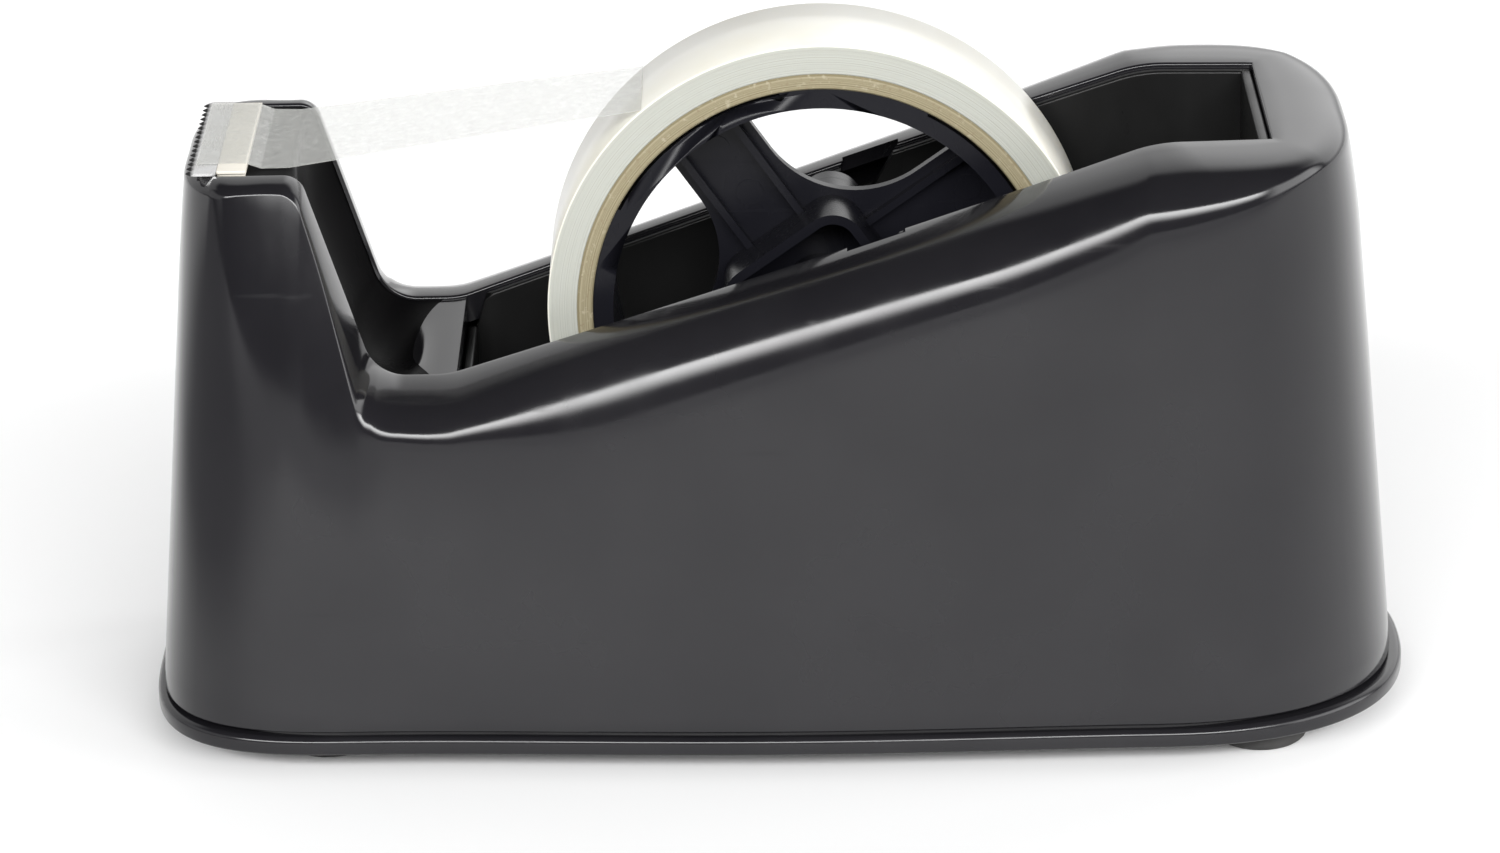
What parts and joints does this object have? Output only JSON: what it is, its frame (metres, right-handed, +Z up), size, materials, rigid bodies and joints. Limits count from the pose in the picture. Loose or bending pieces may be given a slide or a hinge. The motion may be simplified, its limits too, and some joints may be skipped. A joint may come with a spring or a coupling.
{
  "type": "tape dispenser",
  "caption": "Weighted desk tape dispenser: a drafted black housing with a cutter tower, a sloping rim and a reel well, holding a roll of clear tape on a lift-out spoked hub.",
  "frame": {"origin": "on the standing surface, under the middle of the base plate", "axes": "+X from the cutter to the rear, +Y to the far side, +Z up; the reel turns about Y"},
  "size_m": [0.212, 0.087, 0.1173],
  "materials": {
    "housing_plastic": "moulded black plastic, glossy rim and satin sides",
    "well_plastic": "moulded black plastic, glossy",
    "base_plastic": "moulded black plastic, satin",
    "ballast_iron": "cast, dark paint",
    "screw_steel": "zinc plated",
    "foot_rubber": "matt",
    "carrier_plastic": "translucent ivory plastic",
    "blade_steel": "bright cold-rolled strip",
    "hub_plastic": "moulded black plastic, satin",
    "core_board": "recycled board, flecked",
    "tape_film": "clear adhesive film in many layers",
    "strip_film": "one layer of clear adhesive film",
    "pin_steel": "ground rod",
    "cap_plastic": "moulded black plastic"
  },
  "bodies": {
    "body": {"body_shell": "housing_plastic", "reel_well": "well_plastic", "base_plate": "base_plastic", "ballast_slab": "ballast_iron", "ballast_block": "ballast_iron", "base_screws": "screw_steel", "well_screws": "screw_steel", "ballast_screws": "screw_steel", "foot_front_left": "foot_rubber", "foot_front_right": "foot_rubber", "foot_rear_left": "foot_rubber", "foot_rear_right": "foot_rubber", "blade_carrier": "carrier_plastic", "cutter_blade": "blade_steel", "tape_strip": "strip_film"},
    "axle": {"axle_pin": "pin_steel", "axle_cap_near": "cap_plastic", "axle_cap_far": "cap_plastic"},
    "reel": {"reel_hub": "hub_plastic", "tape_core": "core_board", "tape_winding": "tape_film"}
  },
  "joints": [
    {"name": "reel_lift", "type": "slide", "parent": "body", "child": "axle", "axis": [0.4848, 0, 0.8746], "range_m": [0, 0.03], "deforming": ["tape_strip"]},
    {"name": "reel_spin", "type": "hinge", "parent": "axle", "child": "reel", "pos_m": [0.0077, 0, 0.0717], "axis": [0, 1, 0], "continuous": true}
  ]
}
